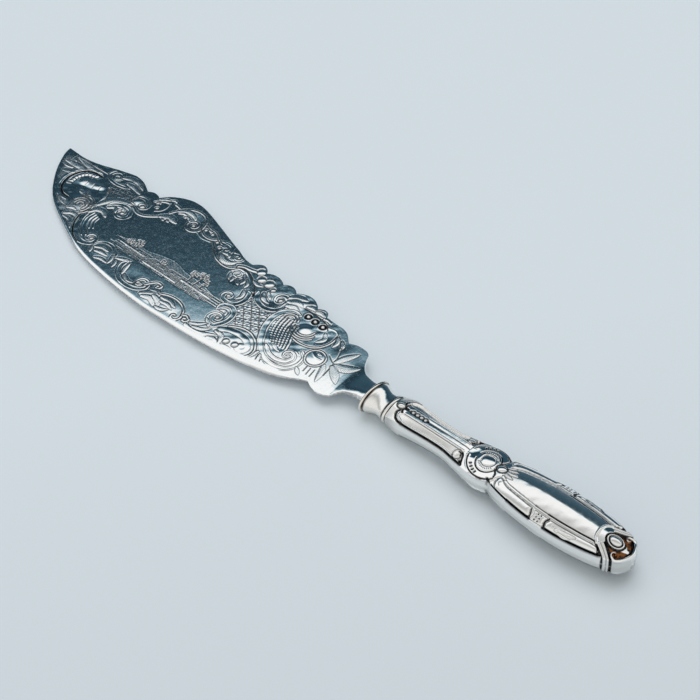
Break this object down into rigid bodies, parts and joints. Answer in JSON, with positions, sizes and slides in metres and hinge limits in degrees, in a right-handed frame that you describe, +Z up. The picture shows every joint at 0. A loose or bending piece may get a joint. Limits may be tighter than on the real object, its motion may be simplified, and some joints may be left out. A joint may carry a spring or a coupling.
{
  "type": "fish slice",
  "caption": "Silver fish slice: flat scroll-edged serving blade with engraved scrollwork, flared oval collar and a die-struck hollow handle with sunk panels and a rounded butt.",
  "frame": {"origin": "bottom centre of the bounding box, on the table the slice lies on", "axes": "+X from the blade's tip towards the handle's butt, +Y towards the wavy spine edge of the blade, +Z up from the table"},
  "size_m": [0.3208, 0.0588, 0.0143],
  "materials": {
    "blade": "polished silver with engraving",
    "collar_rim": "polished silver, slightly worn",
    "collar": "polished silver",
    "seam_ring": "polished silver, tarnished in the joint",
    "handle_upper_shell": "polished silver, tarnish in the recesses",
    "handle_lower_shell": "polished silver, tarnish in the recesses",
    "handle_filler": "dark cast pitch",
    "tang": "forged"
  },
  "bodies": {
    "root": {"blade": "blade", "collar_rim": "collar_rim", "collar": "collar", "seam_ring": "seam_ring", "handle_upper_shell": "handle_upper_shell", "handle_lower_shell": "handle_lower_shell", "handle_filler": "handle_filler", "tang": "tang"}
  },
  "joints": []
}
